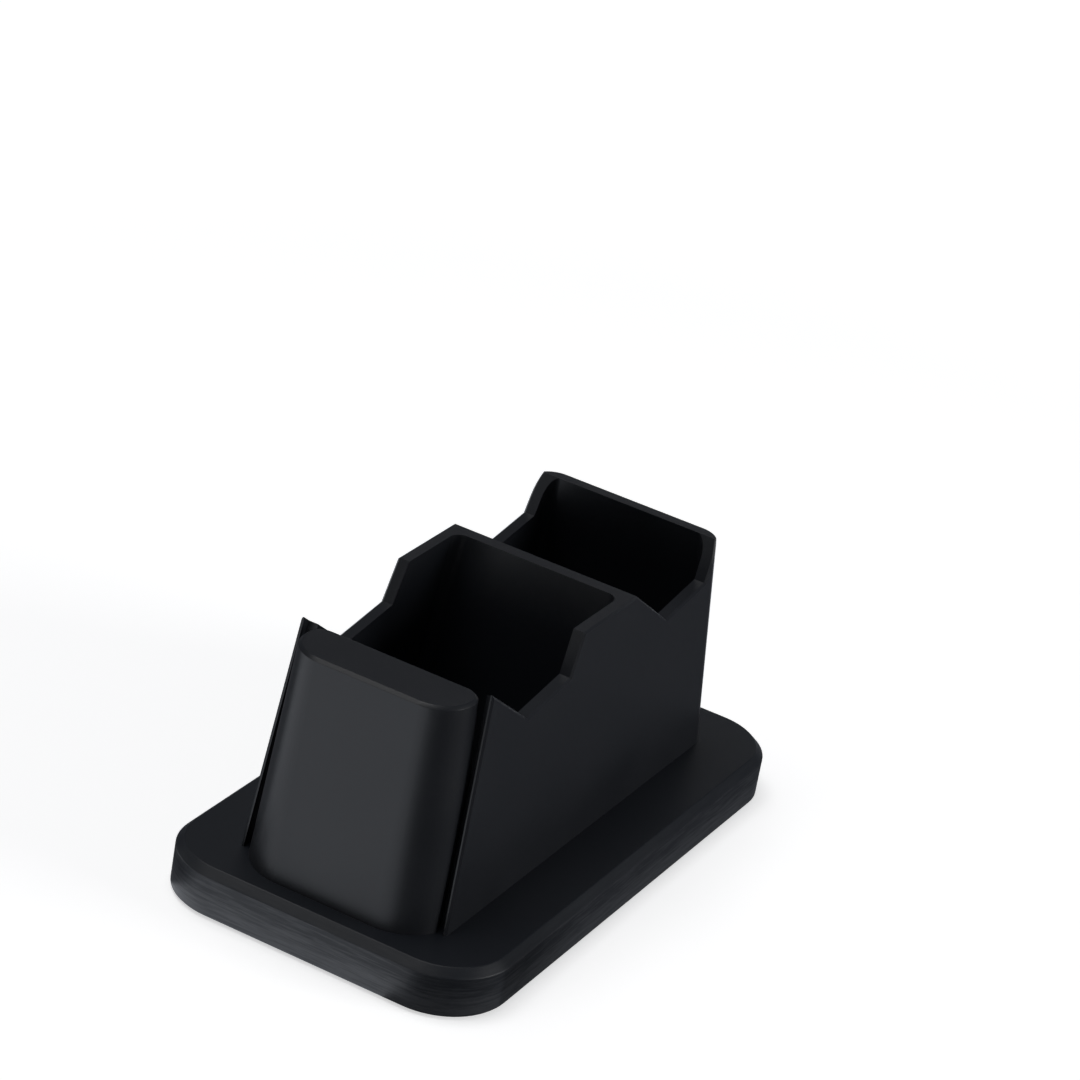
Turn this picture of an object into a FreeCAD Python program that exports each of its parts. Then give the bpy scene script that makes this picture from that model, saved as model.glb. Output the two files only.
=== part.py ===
import FreeCAD, Part
import math
import os

# Dual controller stand, in millimetres.
# X runs across the stand, Y from its front to its back, and Z up from the table under its feet.
# The origin is on the table, under the middle of the base plate.

# Base plate
base_width = 72.0
base_thickness = 10.0
base_corner_radius = 14.0
base_top_chamfer = 1.6
base_bottom_chamfer = 0.4
front_margin = 12.0
rear_margin = 12.0

# Cradle frame: two notched cheeks on a floor, tied by a middle wall and a rear wall
frame_foot_width = 45.8
cheek_taper_deg = 2.4
end_lean_deg = 7.6
wall = 2.6
lip_height = 47.8
frame_rear_radius = 5.0
room_corner_radius = 1.0
tie_wall_thickness = 3.0
cheek_edge_chamfer = 0.4
shadow_gap_depth = 2.5
shadow_gap_lip = 0.7

# Cradles: a slope down from the lip, a floor that rises gently, and a rest at its back
cradle_pitch = 56.0
cradle_drop = 10.6
cradle_slope_run = 15.4
cradle_floor_run = 16.0
cradle_floor_deg = 8.0
cradle_rest_deg = 22.0

# Front post, which spreads from its head down to its foot by the same draft all round
post_head_width = 36.7
post_head_depth = 11.8
post_head_inset = 8.45
post_front_radius = 7.6
post_rear_radius = 3.7
post_draft_deg = 4.0
post_below_lip = 1.3
post_top_chamfer = 0.6
post_seat_clearance = 0.15

# Screws, driven up through the base plate
screw_shank_diameter = 3.0
screw_head_diameter = 5.6
screw_head_height = 2.2
screw_head_bevel = 0.7
screw_grip = 9.0
screw_tip_length = 1.5
screw_tip_diameter = 1.6
screw_slot_width = 0.9
screw_slot_length = 3.2
screw_slot_depth = 1.2
screw_hole_clearance = 0.2
screw_head_clearance = 0.4
screw_head_recess = 3.4
screw_end_room = 1.0
boss_wall = 2.0
post_screw_spacing = 20.0
frame_screw_spacing = 26.0
frame_screw_inset = 24.0

# Rubber feet, let into the underside
foot_diameter = 12.0
foot_thickness = 1.6
foot_recess = 1.1
foot_edge = 0.25
foot_clearance = 0.1
foot_inset = 11.0

# Edges closer than this to a height count as lying at it
level_tolerance = 1e-5

# Heights and places worked out from the sizes above
base_bottom = foot_thickness - foot_recess
base_top = base_bottom + base_thickness
floor_top = base_top + wall
lip_z = base_top + lip_height
post_top = lip_z - post_below_lip
lean_run = lip_height * math.tan(math.radians(end_lean_deg))
taper_run = lip_height * math.tan(math.radians(cheek_taper_deg))
floor_rise = cradle_floor_run * math.tan(math.radians(cradle_floor_deg))
rest_run = (cradle_drop - floor_rise) * math.tan(math.radians(cradle_rest_deg))
cradle_length = cradle_slope_run + cradle_floor_run + rest_run
frame_depth = 2 * lean_run + cradle_pitch + cradle_length + wall
base_depth = front_margin + frame_depth + rear_margin
base_front = -base_depth / 2
frame_foot_front = base_front + front_margin
frame_foot_rear = frame_foot_front + frame_depth
post_head_front = base_front + post_head_inset
post_head_rear = post_head_front + post_head_depth
post_height = post_top - base_top
post_spread = post_height * math.tan(math.radians(post_draft_deg))
screw_hole = screw_shank_diameter + screw_hole_clearance
screw_hole_depth = screw_grip + screw_end_room

# Screw and foot places, shared by every piece that they meet
post_screw_y = (post_head_front + post_head_rear) / 2
post_screws = [(side * post_screw_spacing / 2, post_screw_y) for side in (-1, 1)]
frame_screw_rows = (frame_foot_front + frame_screw_inset, frame_foot_rear - frame_screw_inset)
frame_screws = [(side * frame_screw_spacing / 2, y) for y in frame_screw_rows for side in (-1, 1)]
foot_x = base_width / 2 - foot_inset
foot_y = base_depth / 2 - foot_inset
foot_places = {
    "front_left": (-foot_x, -foot_y),
    "front_right": (foot_x, -foot_y),
    "rear_left": (-foot_x, foot_y),
    "rear_right": (foot_x, foot_y),
}


def frame_half(z):
    """Half the frame's outer width at a height."""
    return frame_foot_width / 2 - taper_run * (z - base_top) / lip_height


def frame_front(z):
    """Where the cheeks' front edges are at a height."""
    return frame_foot_front + lean_run * (z - base_top) / lip_height


def frame_rear(z):
    """Where the rear wall's outer face is at a height."""
    return frame_foot_rear - lean_run * (z - base_top) / lip_height


def tie_rear(z):
    """The tie wall's rear face, which meets the second lip at its top."""
    return frame_front(z) + cradle_pitch


def tapered_block(section, low_z, high_z):
    """A block with flat sloping sides, whose section gives x, x, y, y at any height."""
    rings = []
    for z in (low_z, high_z):
        x_low, x_high, y_low, y_high = section(z)
        ring = [(x_low, y_low), (x_high, y_low), (x_high, y_high), (x_low, y_high)]
        rings.append([FreeCAD.Vector(x, y, z) for x, y in ring])
    lower, upper = rings
    loops = [lower[::-1], upper]
    for index in range(len(lower)):
        following = (index + 1) % len(lower)
        loops.append([lower[index], lower[following], upper[following], upper[index]])
    faces = [Part.Face(Part.makePolygon(loop + loop[:1])) for loop in loops]
    return Part.Solid(Part.Shell(faces))


def upright_edges(block):
    """The edges that join a block's foot to its head."""
    return [edge for edge in block.Edges if edge.BoundBox.ZLength > level_tolerance]


def round_rear_corners(block, radius):
    """Rounds the two upright edges at a block's back."""
    middle = block.BoundBox.Center.y
    rear_edges = [edge for edge in upright_edges(block) if edge.CenterOfMass.y > middle]
    return block.makeFillet(radius, rear_edges)


def round_bar(x, y, z, diameter, height):
    """A round bar or hole that stands on a point."""
    return Part.makeCylinder(diameter / 2, height, FreeCAD.Vector(x, y, z))


def level_edges(shape, z):
    """The edges of a shape that lie at one height."""
    flat_edges = [edge for edge in shape.Edges if edge.BoundBox.ZLength < level_tolerance]
    return [edge for edge in flat_edges if abs(edge.BoundBox.Center.z - z) < level_tolerance]


def make_base_plate():
    """A thick plate with round corners and a broad chamfer round its top."""
    corner = FreeCAD.Vector(-base_width / 2, base_front, base_bottom)
    plate = Part.makeBox(base_width, base_depth, base_thickness, corner)
    plate = plate.makeFillet(base_corner_radius, upright_edges(plate))
    plate = plate.makeChamfer(base_top_chamfer, level_edges(plate, base_top))
    plate = plate.makeChamfer(base_bottom_chamfer, level_edges(plate, base_bottom))
    for x, y in post_screws + frame_screws:
        plate = plate.cut(round_bar(x, y, base_bottom, screw_hole, base_thickness))
        head_room = screw_head_diameter + screw_head_clearance
        plate = plate.cut(round_bar(x, y, base_bottom, head_room, screw_head_recess))
    for x, y in foot_places.values():
        plate = plate.cut(round_bar(x, y, base_bottom, foot_diameter + foot_clearance, foot_recess))
    return plate


def cradle_slab():
    """The frame's side view across the whole width: lips, slopes, floors and rests."""
    floor_z = lip_z - cradle_drop
    points = [(base_front, base_top), (base_front, lip_z)]
    for lip_y in (frame_front(lip_z), tie_rear(lip_z)):
        vertex_y = lip_y + cradle_slope_run
        rest_y = vertex_y + cradle_floor_run
        points.append((lip_y, lip_z))
        points.append((vertex_y, floor_z))
        points.append((rest_y, floor_z + floor_rise))
        points.append((rest_y + rest_run, lip_z))
    points += [(-base_front, lip_z), (-base_front, base_top), (base_front, base_top)]
    corners = [FreeCAD.Vector(-base_width / 2, y, z) for y, z in points]
    return Part.Face(Part.makePolygon(corners)).extrude(FreeCAD.Vector(base_width, 0, 0))


def room_between_cheeks(front_at, rear_at):
    """The space inside the cheeks between two walls, from the floor up past the lips."""
    def section(z):
        inner = frame_half(z) - wall
        return -inner, inner, front_at(z), rear_at(z)
    room = tapered_block(section, floor_top, lip_z + wall)
    return round_rear_corners(room, max(frame_rear_radius - wall, room_corner_radius))


def cheek_outline(frame):
    """The edges round each cheek's outer face, without its foot and the rear round's seam."""
    outline = []
    for edge in frame.Edges:
        middle = edge.valueAt((edge.FirstParameter + edge.LastParameter) / 2)
        on_cheek = abs(abs(middle.x) - frame_half(middle.z)) < level_tolerance
        above_foot = middle.z > base_top + level_tolerance
        rear_seam = middle.y > 0 and edge.BoundBox.ZMin < base_top + level_tolerance
        if on_cheek and above_foot and not rear_seam:
            outline.append(edge)
    return outline


def shadow_gap(side):
    """The groove down one cheek's front edge, which shows as a dark line beside the post."""
    def section(z):
        inner = frame_half(z) - wall - post_seat_clearance
        outer = frame_half(z) - shadow_gap_lip
        low, high = sorted((side * inner, side * outer))
        return low, high, frame_front(z) - wall, frame_front(z) + shadow_gap_depth
    return tapered_block(section, base_top - wall, lip_z + wall)


def make_cradle_frame():
    """Both cheeks, the floor between them, the tie and rear walls and the screw bosses."""
    def outer_section(z):
        return -frame_half(z), frame_half(z), frame_front(z), frame_rear(z)
    outer = round_rear_corners(tapered_block(outer_section, base_top, lip_z), frame_rear_radius)
    front_room = room_between_cheeks(
        lambda z: frame_front(z) - wall,
        lambda z: tie_rear(z) - tie_wall_thickness,
    )
    rear_room = room_between_cheeks(tie_rear, lambda z: frame_rear(z) - wall)
    frame = outer.common(cradle_slab()).cut(front_room).cut(rear_room)

    def post_section(z):
        inner = frame_half(z) - wall
        return -inner, inner, base_front, post_head_rear + post_spread + post_seat_clearance
    frame = frame.cut(tapered_block(post_section, base_top, floor_top + wall))
    frame = frame.makeChamfer(cheek_edge_chamfer, cheek_outline(frame))
    for side in (-1, 1):
        frame = frame.cut(shadow_gap(side))
    boss_diameter = screw_hole + 2 * boss_wall
    for x, y in frame_screws:
        frame = frame.fuse(round_bar(x, y, base_top, boss_diameter, screw_hole_depth + boss_wall))
        frame = frame.cut(round_bar(x, y, base_top, screw_hole, screw_hole_depth))
    return frame.removeSplitter()


def cheek_zone(side):
    """The room that one cheek takes behind its front edge, with the seat's clearance round it."""
    def section(z):
        inner = frame_half(z) - wall - post_seat_clearance
        low, high = sorted((side * inner, side * base_width / 2))
        return low, high, frame_front(z) - post_seat_clearance, -base_front
    return tapered_block(section, base_top - wall, lip_z + wall)


def spread_at(z):
    """How far the post's faces stand out from its head's outline at a height."""
    return post_spread * (post_top - z) / post_height


def post_end(round_y, radius, toward):
    """The post's front or rear: a drafted face between two cone corners, up to their middle plane."""
    round_x = post_head_width / 2 - radius

    def section(z):
        low, high = sorted((round_y, round_y + toward * (radius + spread_at(z))))
        return -round_x, round_x, low, high
    corners = []
    for side in (-1, 1):
        centre = FreeCAD.Vector(side * round_x, round_y, base_top)
        corners.append(Part.makeCone(radius + post_spread, radius, post_height, centre))
    end = tapered_block(section, base_top, post_top).multiFuse(corners)
    start_y = round_y if toward > 0 else round_y - base_depth
    kept_corner = FreeCAD.Vector(-base_width / 2, start_y, base_top)
    return end.common(Part.makeBox(base_width, base_depth, post_height, kept_corner))


def make_front_post():
    """A drafted column with large front rounds, rebated at its flanks where the cheeks seat."""
    front_y = post_head_front + post_front_radius
    rear_y = post_head_rear - post_rear_radius

    def flank_section(z):
        half = post_head_width / 2 + spread_at(z)
        return -half, half, front_y, rear_y
    front = post_end(front_y, post_front_radius, -1)
    rear = post_end(rear_y, post_rear_radius, 1)
    flanks = tapered_block(flank_section, base_top, post_top)
    post = flanks.multiFuse([front, rear]).removeSplitter()
    post = post.makeChamfer(post_top_chamfer, level_edges(post, post_top))
    for side in (-1, 1):
        post = post.cut(cheek_zone(side))
    for x, y in post_screws:
        post = post.cut(round_bar(x, y, base_top, screw_hole, screw_hole_depth))
    return post


def make_screw(x, y):
    """A pan-head screw, head down, with a cross slot and a blunt point; its thread is left off."""
    seat = base_bottom + screw_head_recess
    head_radius = screw_head_diameter / 2
    shank_radius = screw_shank_diameter / 2
    tip = base_top + screw_grip
    under = seat - screw_head_height
    corners = [
        (0, under),
        (head_radius - screw_head_bevel, under),
        (head_radius, under + screw_head_bevel),
        (head_radius, seat),
        (shank_radius, seat),
        (shank_radius, tip - screw_tip_length),
        (screw_tip_diameter / 2, tip),
        (0, tip),
        (0, under),
    ]
    face = Part.Face(Part.makePolygon([FreeCAD.Vector(r, 0, z) for r, z in corners]))
    screw = face.revolve(FreeCAD.Vector(0, 0, 0), FreeCAD.Vector(0, 0, 1), 360)
    for length, width in ((screw_slot_length, screw_slot_width), (screw_slot_width, screw_slot_length)):
        corner = FreeCAD.Vector(-length / 2, -width / 2, under)
        screw = screw.cut(Part.makeBox(length, width, screw_slot_depth, corner))
    screw.translate(FreeCAD.Vector(x, y, 0))
    return screw


def make_foot(x, y):
    """A rubber disc with softened edges."""
    foot = round_bar(x, y, 0, foot_diameter, foot_thickness)
    return foot.makeChamfer(foot_edge, level_edges(foot, 0))


shapes = {
    "base_plate": make_base_plate(),
    "cradle_frame": make_cradle_frame(),
    "front_post": make_front_post(),
    "base_screws": Part.makeCompound([make_screw(x, y) for x, y in post_screws + frame_screws]),
}
for place, (foot_at_x, foot_at_y) in foot_places.items():
    shapes["foot_" + place] = make_foot(foot_at_x, foot_at_y)

os.makedirs("parts", exist_ok=True)
for name, shape in shapes.items():
    shape.exportStep("parts/" + name + ".step")
    print(name, len(shape.Solids), "solids", round(shape.Volume / 1000, 2), "cm3", shape.isValid())
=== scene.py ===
# %% [markdown]
# A low desk stand with two cradles in a row, in satin black plastic.
# The solids come in already at their real size and place: a base plate, a front post, an open cradle
# frame, the screws from below and the rubber feet. This lesson dresses them. It softens their edges,
# gives each finish its own procedural material, and lights them as a small product shot.

# %% load the solids
import bmesh
import bpy
import math
from mathutils import Matrix, Vector


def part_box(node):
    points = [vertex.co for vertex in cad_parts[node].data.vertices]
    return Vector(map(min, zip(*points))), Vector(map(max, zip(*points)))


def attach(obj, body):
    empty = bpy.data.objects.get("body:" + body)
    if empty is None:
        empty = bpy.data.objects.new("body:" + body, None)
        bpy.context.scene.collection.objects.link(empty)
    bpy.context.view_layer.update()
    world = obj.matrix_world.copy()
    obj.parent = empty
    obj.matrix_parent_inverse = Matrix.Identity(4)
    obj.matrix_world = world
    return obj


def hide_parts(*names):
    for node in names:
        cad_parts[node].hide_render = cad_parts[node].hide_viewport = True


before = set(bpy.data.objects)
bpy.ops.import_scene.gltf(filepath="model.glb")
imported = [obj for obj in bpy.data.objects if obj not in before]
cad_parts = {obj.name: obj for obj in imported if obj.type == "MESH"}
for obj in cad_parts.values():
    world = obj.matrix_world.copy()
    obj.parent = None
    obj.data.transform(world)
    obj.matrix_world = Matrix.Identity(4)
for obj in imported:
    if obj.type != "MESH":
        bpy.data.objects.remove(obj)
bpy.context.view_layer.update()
MM = 0.001

# %% [markdown]
# The camera stands in front of the stand, to its right and above it, and it is rolled a little, so that
# upright edges lean in the picture. A Track To constraint would aim it, but it can't hold a roll. A
# camera's matrix has its right, up and backward directions as columns, and building them from three angles
# keeps the roll apart from where the camera looks.

# %% camera
camera_azimuth = math.radians(25.008)
camera_elevation = math.radians(25.688)
camera_roll = math.radians(10.291)
camera_place = Vector((297.24, -631.71, 402.14)) * MM
camera_lens = 134.56
camera_sensor = 36.0

level_right = Vector((math.cos(camera_azimuth), math.sin(camera_azimuth), 0))
look = Vector((
    -math.sin(camera_azimuth) * math.cos(camera_elevation),
    math.cos(camera_azimuth) * math.cos(camera_elevation),
    -math.sin(camera_elevation),
))
level_up = level_right.cross(look)
right = level_right * math.cos(camera_roll) + level_up * math.sin(camera_roll)
up = level_up * math.cos(camera_roll) - level_right * math.sin(camera_roll)

camera_data = bpy.data.cameras.new("camera")
camera_data.lens = camera_lens
camera_data.sensor_width = camera_sensor
camera = bpy.data.objects.new("camera", camera_data)
bpy.context.scene.collection.objects.link(camera)
camera.matrix_world = Matrix.Translation(camera_place) @ Matrix((right, up, -look)).transposed().to_4x4()
bpy.context.scene.camera = camera
print("camera at", [round(v, 3) for v in camera_place], "lens", camera_lens)

# %% [markdown]
# No moulded edge is perfectly sharp: a fraction of a millimetre of roundness catches the light as a thin
# bright line. A Bevel modifier could do this, but it would also round the screw holes and the inner
# corners. So each main piece is copied, its loose triangles are welded and merged into whole faces, and
# bmesh bevels only the convex edges that show. The Weighted Normal modifier then keeps flat faces flat and
# lets the bevels turn smoothly.

# %% a way to copy a solid with soft edges
weld_distance = 0.002 * MM
flat_angle = math.radians(0.6)
crease_angle = math.radians(24)
round_steps = 3


def soft_copy(node, name, edge_round, is_kept_sharp):
    """A welded copy of a solid with its convex creases bevelled."""
    shape = bmesh.new()
    shape.from_mesh(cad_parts[node].data)
    bmesh.ops.remove_doubles(shape, verts=shape.verts, dist=weld_distance)
    bmesh.ops.dissolve_limit(
        shape, angle_limit=flat_angle, verts=shape.verts, edges=shape.edges, use_dissolve_boundaries=False
    )
    creases = []
    for edge in shape.edges:
        folded = len(edge.link_faces) == 2 and edge.calc_face_angle() > crease_angle
        if folded and edge.is_convex and not is_kept_sharp(edge):
            creases.append(edge)
    bmesh.ops.bevel(
        shape, geom=creases, offset=edge_round, offset_type="OFFSET", affect="EDGES", segments=round_steps,
        profile=0.5, material=-1, clamp_overlap=True,
    )
    for edge in shape.edges:
        edge.smooth = len(edge.link_faces) == 2 and edge.calc_face_angle() < crease_angle
    for face in shape.faces:
        face.smooth = True
    mesh = bpy.data.meshes.new(name)
    shape.to_mesh(mesh)
    shape.free()
    piece = bpy.data.objects.new(name, mesh)
    bpy.context.scene.collection.objects.link(piece)
    even = piece.modifiers.new("even shading", "WEIGHTED_NORMAL")
    even.keep_sharp = True
    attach(piece, "root")
    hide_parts(node)
    print(name, "bevelled", len(creases), "edges into", len(mesh.polygons), "faces")
    return piece


def middle_height(edge):
    """How high the middle of an edge lies."""
    return (edge.verts[0].co.z + edge.verts[1].co.z) / 2


# %% [markdown]
# Which edges stay sharp differs from piece to piece. Below the middle of the base plate lie the screw holes
# and the pockets of the feet. The post's foot stands on the plate, where a bevel would open a gap. In the
# frame, the bosses for the screws are out of sight. A small test by height leaves all of these out.

# %% soft-edged base, post and frame
base_low, base_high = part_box("base_plate")
frame_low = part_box("cradle_frame")[0]
base_middle_z = (base_low.z + base_high.z) / 2
foot_reach = 0.5 * MM
boss_reach = 13 * MM
base_round = 0.25 * MM
post_round = 0.2 * MM
frame_round = 0.15 * MM

base_body = soft_copy(
    "base_plate", "base_body", base_round, lambda edge: middle_height(edge) < base_middle_z
)
post_body = soft_copy(
    "front_post", "post_body", post_round, lambda edge: middle_height(edge) < base_high.z + foot_reach
)
frame_body = soft_copy(
    "cradle_frame", "frame_body", frame_round, lambda edge: middle_height(edge) < frame_low.z + boss_reach
)

# %% [markdown]
# Satin plastic is never one flat value: the tool that moulded it leaves a very fine grain, and handling
# and ageing leave broad, faint differences in gloss. Both are noise at different scales, and every finish
# here needs them, so they are one node group with named inputs instead of the same nodes four times.

# %% a node group for fine grain
grain_detail = 3.0
grain_falloff = 0.6
cloud_detail = 4.0


def new_group(name, inputs, outputs):
    """An empty shader node group with float inputs, a place and float outputs."""
    group = bpy.data.node_groups.new(name, "ShaderNodeTree")
    for label, value in inputs.items():
        socket = group.interface.new_socket(label, in_out="INPUT", socket_type="NodeSocketFloat")
        socket.default_value = value
    group.interface.new_socket("Place", in_out="INPUT", socket_type="NodeSocketVector")
    for label in outputs:
        group.interface.new_socket(label, in_out="OUTPUT", socket_type="NodeSocketFloat")
    return group, group.nodes.new("NodeGroupInput"), group.nodes.new("NodeGroupOutput")


grain_group, grain_in, grain_out = new_group(
    "fine_grain", {"Grain size": 2500.0, "Cloud size": 40.0}, ("Grain", "Cloud")
)
grain_noise = grain_group.nodes.new("ShaderNodeTexNoise")
grain_noise.inputs["Detail"].default_value = grain_detail
grain_noise.inputs["Roughness"].default_value = grain_falloff
cloud_noise = grain_group.nodes.new("ShaderNodeTexNoise")
cloud_noise.inputs["Detail"].default_value = cloud_detail
for noise, size, label in ((grain_noise, "Grain size", "Grain"), (cloud_noise, "Cloud size", "Cloud")):
    grain_group.links.new(grain_in.outputs["Place"], noise.inputs["Vector"])
    grain_group.links.new(grain_in.outputs[size], noise.inputs["Scale"])
    grain_group.links.new(noise.outputs["Fac"], grain_out.inputs[label])
print("made group", grain_group.name)

# %% [markdown]
# The base plate's walls carry fine level streaks, as a plate has that was milled or sanded along its edge.
# A Wave texture would draw them too evenly. Noise that is squeezed in height and stretched along the plate
# breaks them up as real ones are. The two inputs say how many waves a metre has along the plate and up.

# %% a node group for level streaks
streak_detail = 4.0
streak_falloff = 0.65

streak_group, streak_in, streak_out = new_group("level_streaks", {"Along": 110.0, "Up": 1900.0}, ("Streak",))
stretch = streak_group.nodes.new("ShaderNodeCombineXYZ")
scaled = streak_group.nodes.new("ShaderNodeVectorMath")
scaled.operation = "MULTIPLY"
streak_noise = streak_group.nodes.new("ShaderNodeTexNoise")
streak_noise.inputs["Scale"].default_value = 1.0
streak_noise.inputs["Detail"].default_value = streak_detail
streak_noise.inputs["Roughness"].default_value = streak_falloff
for label, axis in (("Along", "X"), ("Along", "Y"), ("Up", "Z")):
    streak_group.links.new(streak_in.outputs[label], stretch.inputs[axis])
streak_group.links.new(streak_in.outputs["Place"], scaled.inputs[0])
streak_group.links.new(stretch.outputs["Vector"], scaled.inputs[1])
streak_group.links.new(scaled.outputs["Vector"], streak_noise.inputs["Vector"])
streak_group.links.new(streak_noise.outputs["Fac"], streak_out.inputs["Streak"])
print("made group", streak_group.name)

# %% [markdown]
# Every finish here is built from the same few steps, so each step is a small function. A Map Range node is
# the plainest way to say "from this value to that one", and a Mix node says the same of two colours. Noise
# seldom leaves its middle range, so that is the range that Map Range reads unless it is told otherwise.

# %% helpers for materials
noise_low = 0.3
noise_high = 0.7


def map_range(tree, source, low, high, from_low=noise_low, from_high=noise_high):
    """A node that turns a value into one between low and high."""
    node = tree.nodes.new("ShaderNodeMapRange")
    node.inputs["From Min"].default_value = from_low
    node.inputs["From Max"].default_value = from_high
    node.inputs["To Min"].default_value = low
    node.inputs["To Max"].default_value = high
    tree.links.new(source, node.inputs["Value"])
    return node.outputs["Result"]


def colour_between(tree, factor, dark, light):
    """A node that blends two colours by a factor."""
    node = tree.nodes.new("ShaderNodeMix")
    node.data_type = "RGBA"
    node.inputs["A"].default_value = (*dark, 1.0)
    node.inputs["B"].default_value = (*light, 1.0)
    tree.links.new(factor, node.inputs["Factor"])
    return node.outputs["Result"]


def combine(tree, operation, first, second):
    """A Math node that joins two values."""
    node = tree.nodes.new("ShaderNodeMath")
    node.operation = operation
    tree.links.new(first, node.inputs[0])
    tree.links.new(second, node.inputs[1])
    return node.outputs["Value"]


def add_bump(tree, shader, height, depth):
    """A Bump node that feeds the shader's normal."""
    bump = tree.nodes.new("ShaderNodeBump")
    bump.inputs["Strength"].default_value = 1.0
    bump.inputs["Distance"].default_value = depth
    tree.links.new(height, bump.inputs["Height"])
    tree.links.new(bump.outputs["Normal"], shader.inputs["Normal"])


# %% [markdown]
# One more function starts a material. It places the grain group on the object's own coordinates, which stay
# with the piece, and lets the clouds spread the roughness between two values.

# %% a way to start a material


def start_material(name, grain_size, cloud_size, smooth, rough):
    """A node material with a shader, a grain group and a clouded roughness."""
    material = bpy.data.materials.new(name)
    material.use_nodes = True
    tree = material.node_tree
    shader = tree.nodes["Principled BSDF"]
    grain = tree.nodes.new("ShaderNodeGroup")
    grain.node_tree = grain_group
    grain.inputs["Grain size"].default_value = grain_size
    grain.inputs["Cloud size"].default_value = cloud_size
    tree.links.new(tree.nodes.new("ShaderNodeTexCoord").outputs["Object"], grain.inputs["Place"])
    tree.links.new(map_range(tree, grain.outputs["Cloud"], smooth, rough), shader.inputs["Roughness"])
    print("made material", name)
    return material, tree, shader, grain


# %% [markdown]
# The post and the frame are moulded in satin black. Black plastic has hardly any colour of its own, and
# most of what one sees is its soft reflection, so the roughness matters more than the colour. The colour
# is a very dark, slightly blue grey, and the grain is a bump of about a hundredth of a millimetre.

# %% satin black plastic for the post and the frame
plastic_ior = 1.46
plastic_gloss = 0.5
plastic_grain = 2600.0
plastic_cloud = 45.0
grain_depth = 0.012 * MM
satin_dark = (0.0075, 0.0087, 0.0115)
satin_light = (0.0105, 0.0120, 0.0157)
satin_smooth, satin_rough = 0.34, 0.42

satin, tree, shader, grain = start_material(
    "satin_black", plastic_grain, plastic_cloud, satin_smooth, satin_rough
)
shader.inputs["IOR"].default_value = plastic_ior
shader.inputs["Specular IOR Level"].default_value = plastic_gloss
satin_colour = colour_between(tree, grain.outputs["Cloud"], satin_dark, satin_light)
tree.links.new(satin_colour, shader.inputs["Base Color"])
add_bump(tree, shader, grain.outputs["Grain"], grain_depth)

# %% [markdown]
# The base plate is of the same plastic, a little duller, with the streaks on its walls. First comes where
# they show: the surface's own direction says what is a wall and what is the top, and the height says how
# far down the wall a point lies. The walls are painted paler near the floor, which is painted light, the
# glow that the white floor throws up on them, and the streaks vary that.

# %% where the base plate is streaked
base_grade = {"smooth": 0.42, "rough": 0.5}
wall_direction, top_direction = 0.3, 0.8
pale_below = base_low.z + 2.5 * MM
dark_above = base_low.z + 6.2 * MM
pale_low, pale_high = 0.65, -0.08
streak_low, streak_high = -0.15, 0.55
streak_from, streak_to = 0.38, 0.62

streaked, tree, shader, grain = start_material("streaked_black", plastic_grain, plastic_cloud, **base_grade)
place = tree.nodes.new("ShaderNodeTexCoord").outputs["Object"]
streaks = tree.nodes.new("ShaderNodeGroup")
streaks.node_tree = streak_group
tree.links.new(place, streaks.inputs["Place"])
direction = tree.nodes.new("ShaderNodeSeparateXYZ")
facing = tree.nodes.new("ShaderNodeNewGeometry").outputs["True Normal"]
tree.links.new(facing, direction.inputs["Vector"])
levelness = tree.nodes.new("ShaderNodeMath")
levelness.operation = "ABSOLUTE"
tree.links.new(direction.outputs["Z"], levelness.inputs[0])
height = tree.nodes.new("ShaderNodeSeparateXYZ")
tree.links.new(place, height.inputs["Vector"])

on_wall = map_range(tree, levelness.outputs["Value"], 1.0, 0.0, wall_direction, top_direction)
# painted light: this value pales the walls towards the floor, in place of the white floor's glow on them
painted_floor_glow = map_range(tree, height.outputs["Z"], pale_low, pale_high, pale_below, dark_above)
streak_share = map_range(tree, streaks.outputs["Streak"], streak_low, streak_high, streak_from, streak_to)
# the wall value joins the real streaks with the painted floor glow near the bottom
streaks_and_painted_glow = combine(tree, "MULTIPLY", combine(tree, "ADD", painted_floor_glow, streak_share), on_wall)

# %% [markdown]
# Then comes what they do. Rubbing along a wall both pales the plastic and polishes it, in streaks. The
# extra paleness near the floor is painted light, standing in for the white floor's glow on the walls. The
# colour alone would look painted, so the same value also drives the weight of a thin coat, which mirrors
# the floor where it is thick. The same value, with the grain added, gives the relief.

# %% colour, polish and relief of the base plate
base_dark = (0.0062, 0.0082, 0.0122)
base_pale = (0.022, 0.0245, 0.0295)
base_gloss = 0.46
polish = 0.72
polish_roughness = 0.46

shader.inputs["IOR"].default_value = plastic_ior
shader.inputs["Specular IOR Level"].default_value = base_gloss
shader.inputs["Coat IOR"].default_value = plastic_ior
shader.inputs["Coat Roughness"].default_value = polish_roughness
# the colour mixes the streaks with painted light from the floor, paler towards the bottom of the walls
base_colour = colour_between(tree, streaks_and_painted_glow, base_dark, base_pale)
tree.links.new(base_colour, shader.inputs["Base Color"])
tree.links.new(map_range(tree, streaks_and_painted_glow, 0.0, polish, 0.0, 1.0), shader.inputs["Coat Weight"])
add_bump(tree, shader, combine(tree, "ADD", streaks_and_painted_glow, grain.outputs["Grain"]), grain_depth)
print("walls grow paler below", round(dark_above / MM, 1), "mm, polish up to", polish)

# %% [markdown]
# The feet are soft black rubber, dull and slightly dusty, and the screws are zinc plated steel with a dark
# passivation. Both are small and mostly hidden, so the shared grain, in other sizes, is all that they need.

# %% rubber and screw finishes
rubber_ior = 1.4
rubber_dark, rubber_light = (0.010, 0.010, 0.010), (0.020, 0.019, 0.018)
rubber_depth = 0.03 * MM
zinc_dark, zinc_light = (0.13, 0.13, 0.135), (0.24, 0.24, 0.25)
zinc_depth = 0.006 * MM

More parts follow.
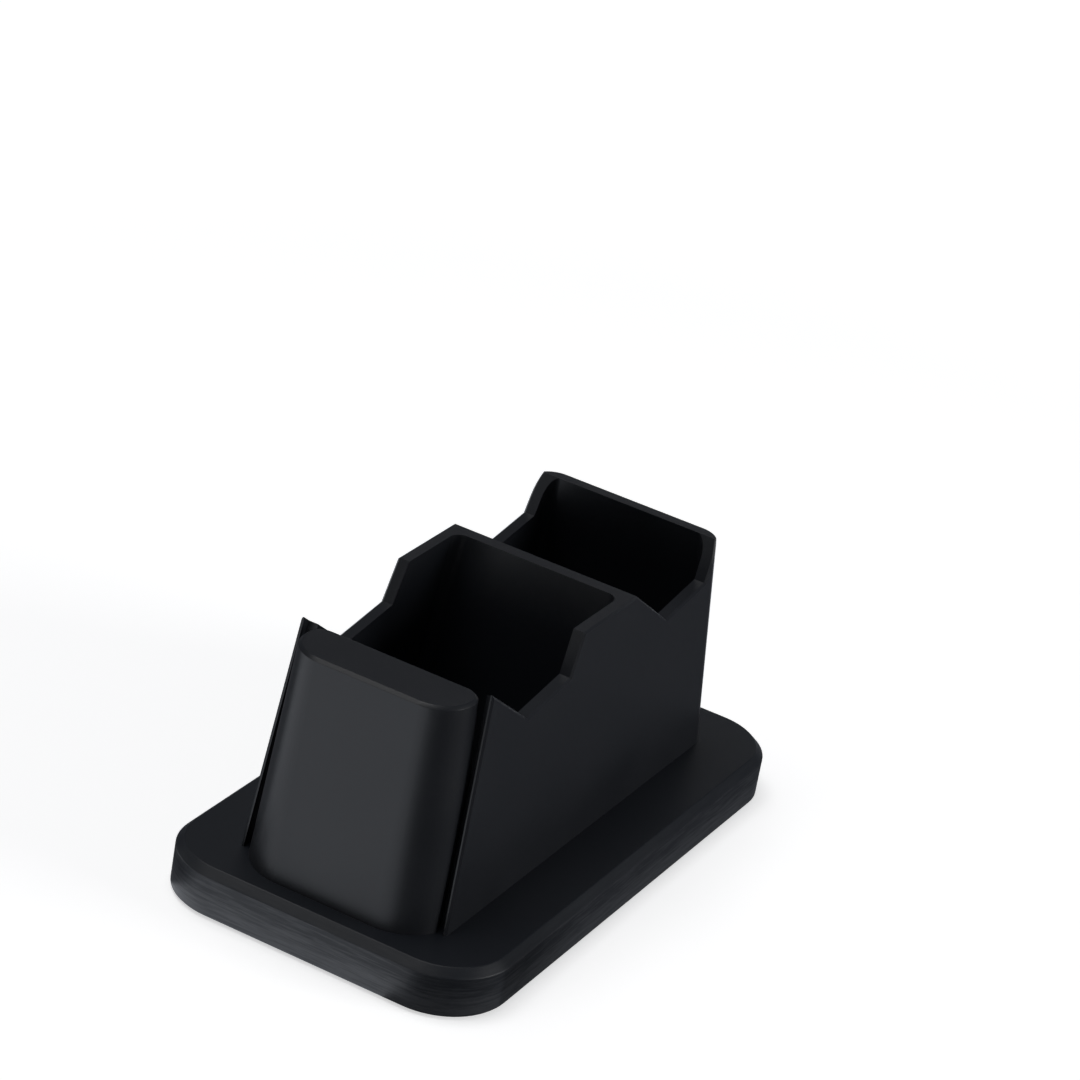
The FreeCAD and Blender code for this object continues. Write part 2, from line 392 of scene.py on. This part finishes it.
rubber, tree, shader, grain = start_material(
    "foot_rubber", grain_size=1500.0, cloud_size=120.0, smooth=0.75, rough=0.9
)
shader.inputs["IOR"].default_value = rubber_ior
rubber_colour = colour_between(tree, grain.outputs["Cloud"], rubber_dark, rubber_light)
tree.links.new(rubber_colour, shader.inputs["Base Color"])
add_bump(tree, shader, grain.outputs["Grain"], rubber_depth)

zinc, tree, shader, grain = start_material(
    "dark_zinc", grain_size=3500.0, cloud_size=400.0, smooth=0.28, rough=0.45
)
shader.inputs["Metallic"].default_value = 1.0
zinc_colour = colour_between(tree, grain.outputs["Cloud"], zinc_dark, zinc_light)
tree.links.new(zinc_colour, shader.inputs["Base Color"])
add_bump(tree, shader, grain.outputs["Grain"], zinc_depth)

# %% [markdown]
# Now every piece gets its finish. The solids that have a soft-edged copy are hidden behind it, but they are
# dressed too, so that nothing is bare if someone shows them again.

# %% give every piece its finish


def finish_with(piece, material):
    """Makes a material the only one of a piece."""
    piece.data.materials.clear()
    piece.data.materials.append(material)


for piece in (post_body, frame_body):
    finish_with(piece, satin)
finish_with(base_body, streaked)
for name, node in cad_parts.items():
    if name.startswith("foot"):
        finish_with(node, rubber)
    elif name == "base_screws":
        finish_with(node, zinc)
    else:
        finish_with(node, streaked if name == "base_plate" else satin)

# %% [markdown]
# The stand is shot on a white floor. Black plastic shows mostly what it reflects, so the floor matters as
# much as the lamps: the upright walls mirror the white floor and read as dark grey, while the level tops
# mirror the dimmer space above and read as black. The floor adds a little light of its own: plain white
# for the camera, so that it is white where nothing shades it and still keeps the soft shadow, and a cooler
# white for reflections, which gives the plastic its slightly blue grey. Diffuse rays meet neither. The
# lamps reach less far than the camera sees, so the plain white grows with the distance from the stand.

# %% floor
floor_half = 6.0
paper_white = (0.8, 0.8, 0.8, 1.0)
plain_white = (1.0, 1.0, 1.0, 1.0)
cool_white = (0.91, 0.97, 1.08, 1.0)
seen_glow = 0.59
mirrored_glow = 0.67
near_floor, far_floor = 0.3, 1.5

floor_shape = bmesh.new()
bmesh.ops.create_grid(floor_shape, x_segments=1, y_segments=1, size=floor_half)
floor_mesh = bpy.data.meshes.new("floor")
floor_shape.to_mesh(floor_mesh)
floor_shape.free()
floor = bpy.data.objects.new("floor", floor_mesh)
bpy.context.scene.collection.objects.link(floor)
print("floor", 2 * floor_half, "m square")

# %% white paper for the floor
paper = bpy.data.materials.new("white_paper")
paper.use_nodes = True
tree = paper.node_tree
tree.nodes.remove(tree.nodes["Principled BSDF"])
matte = tree.nodes.new("ShaderNodeBsdfDiffuse")
matte.inputs["Color"].default_value = paper_white
rays = tree.nodes.new("ShaderNodeLightPath")
mirrored = combine(tree, "MAXIMUM", rays.outputs["Is Glossy Ray"], rays.outputs["Is Transmission Ray"])
distance = tree.nodes.new("ShaderNodeVectorMath")
distance.operation = "LENGTH"
tree.links.new(tree.nodes.new("ShaderNodeTexCoord").outputs["Object"], distance.inputs[0])
white_share = map_range(tree, distance.outputs["Value"], seen_glow, 1.0, near_floor, far_floor)
paper_look = matte.outputs["BSDF"]
for colour, amount in (
    (plain_white, combine(tree, "MULTIPLY", rays.outputs["Is Camera Ray"], white_share)),
    (cool_white, map_range(tree, mirrored, 0.0, mirrored_glow, 0.0, 1.0)),
):
    glow = tree.nodes.new("ShaderNodeEmission")
    glow.inputs["Color"].default_value = colour
    tree.links.new(amount, glow.inputs["Strength"])
    both = tree.nodes.new("ShaderNodeAddShader")
    tree.links.new(paper_look, both.inputs[0])
    tree.links.new(glow.outputs["Emission"], both.inputs[1])
    paper_look = both.outputs["Shader"]
tree.links.new(paper_look, tree.nodes["Material Output"].inputs["Surface"])
floor_mesh.materials.append(paper)
print("made material", paper.name)

# %% [markdown]
# From a low angle the camera looks past the end of any floor, so a low white wall right round the stage
# closes the view. A white world could do that too, but the tops of the stand would mirror it and turn
# grey. Reflections do meet the wall, as a horizon, and its ray switches keep it from lighting the stand.

# %% backdrop
backdrop_radius = 3.0
backdrop_height = 0.6
backdrop_segments = 96


def glow_only(name, colour):
    """A material that only glows."""
    material = bpy.data.materials.new(name)
    material.use_nodes = True
    tree = material.node_tree
    tree.nodes.remove(tree.nodes["Principled BSDF"])
    glow = tree.nodes.new("ShaderNodeEmission")
    glow.inputs["Color"].default_value = colour
    tree.links.new(glow.outputs["Emission"], tree.nodes["Material Output"].inputs["Surface"])
    return material, glow


backdrop_shape = bmesh.new()
bmesh.ops.create_cone(
    backdrop_shape, cap_ends=False, segments=backdrop_segments, radius1=backdrop_radius,
    radius2=backdrop_radius, depth=backdrop_height, matrix=Matrix.Translation((0, 0, backdrop_height / 2)),
)
backdrop_mesh = bpy.data.meshes.new("backdrop")
backdrop_shape.to_mesh(backdrop_mesh)
backdrop_shape.free()
backdrop_mesh.materials.append(glow_only("backdrop_white", plain_white)[0])
backdrop = bpy.data.objects.new("backdrop", backdrop_mesh)
bpy.context.scene.collection.objects.link(backdrop)
backdrop.visible_diffuse = False
backdrop.visible_shadow = False
print("backdrop", 2 * backdrop_radius, "m across")

# %% [markdown]
# Photographers shape a black product with dark cards as much as with lamps. A card close beside it, or a
# dark mat on the floor, gives the rounds and the sides something dark to mirror, so that the bright front
# stands out between two dark edges. Mirrored rays alone meet these sheets: the camera looks past them and
# they cast no shadow. A low strip beside the right wall grows darker towards the front, so that the wall
# does too.

# %% ways to make a dark card
card_glow = (0.08, 0.085, 0.097, 1.0)
card_height = 0.12
strip_height = 0.0125
mat_height = 0.0002


def dark_card(name, corners, finish):
    """A flat sheet that only reflections see."""
    sheet = bmesh.new()
    sheet.faces.new([sheet.verts.new(corner) for corner in corners])
    mesh = bpy.data.meshes.new(name)
    sheet.to_mesh(mesh)
    sheet.free()
    card = bpy.data.objects.new(name, mesh)
    bpy.context.scene.collection.objects.link(card)
    card.visible_camera = False
    card.visible_diffuse = False
    card.visible_transmission = False
    card.visible_shadow = False
    mesh.materials.append(finish)
    print("card", name, "with", len(corners), "corners")


def upright(x, y_start, y_end, top):
    """The corners of a sheet that stands on the floor beside the stand."""
    return [(x, y_start, 0.0), (x, y_end, 0.0), (x, y_end, top), (x, y_start, top)]


def lying(outline):
    """The corners of a sheet that lies on the floor."""
    return [(x, y, mat_height) for x, y in outline]


# %% dark cards and mats
fade_front, fade_back = -0.044, -0.02
fade_least = 0.05
left_mat = ((-0.058, -0.074), (-0.034, -0.074), (-0.034, -0.03), (-0.058, -0.03))
right_mat = ((0.017, -0.06), (0.042, -0.25), (0.25, -0.25), (0.25, 0.25), (0.017, 0.25))

card_black = glow_only("card_black", card_glow)[0]
graded_black, graded_glow = glow_only("graded_black", card_glow)
tree = graded_black.node_tree
along = tree.nodes.new("ShaderNodeSeparateXYZ")
tree.links.new(tree.nodes.new("ShaderNodeTexCoord").outputs["Object"], along.inputs["Vector"])
fade = map_range(tree, along.outputs["Y"], fade_least, 1.0, fade_front, fade_back)
tree.links.new(fade, graded_glow.inputs["Strength"])

dark_card("left_card", upright(x=-0.042, y_start=-0.059, y_end=-0.012, top=card_height), card_black)
dark_card("right_card", upright(x=0.0368, y_start=-0.102, y_end=0.25, top=card_height), card_black)
dark_card("right_strip", upright(x=0.0366, y_start=-0.052, y_end=fade_back, top=strip_height), graded_black)
dark_card("left_mat", lying(left_mat), card_black)
dark_card("right_mat", lying(right_mat), card_black)

# %% [markdown]
# Three white soft boxes and a dim room light the stand. One hangs overhead and lays a soft shadow round
# the base. A weak panel in front and to the left opens up the front, and a low one at the right brightens
# the cheek. Energy is in watts, so it has to grow with the square of the distance.

# %% lamps
lamp_target = Vector((0.0, -0.01, 0.03))


def soft_box(name, place, side, energy):
    """A square lamp that faces the stand."""
    data = bpy.data.lights.new(name, "AREA")
    data.shape = "RECTANGLE"
    data.size = side
    data.size_y = side
    data.energy = energy
    lamp = bpy.data.objects.new(name, data)
    lamp.location = place
    lamp.rotation_mode = "QUATERNION"
    lamp.rotation_quaternion = (lamp_target - lamp.location).to_track_quat("-Z", "Y")
    bpy.context.scene.collection.objects.link(lamp)
    print("lamp", name, energy, "W")


soft_box("front_panel", Vector((-0.8, -0.95, 1.6)), side=1.2, energy=3.0)
soft_box("overhead", Vector((-0.35, -0.1, 1.5)), side=1.0, energy=9.0)
soft_box("side_fill", Vector((1.4, 0.35, 0.4)), side=0.6, energy=9.0)

# %% room
room_shade = (0.06, 0.064, 0.074, 1.0)
room = bpy.data.worlds.new("room")
room.use_nodes = True
room.node_tree.nodes["Background"].inputs["Color"].default_value = room_shade
room.node_tree.nodes["Background"].inputs["Strength"].default_value = 1.0
bpy.context.scene.world = room
bpy.context.scene.view_settings.view_transform = "Standard"
print("room shade", room_shade[:3])
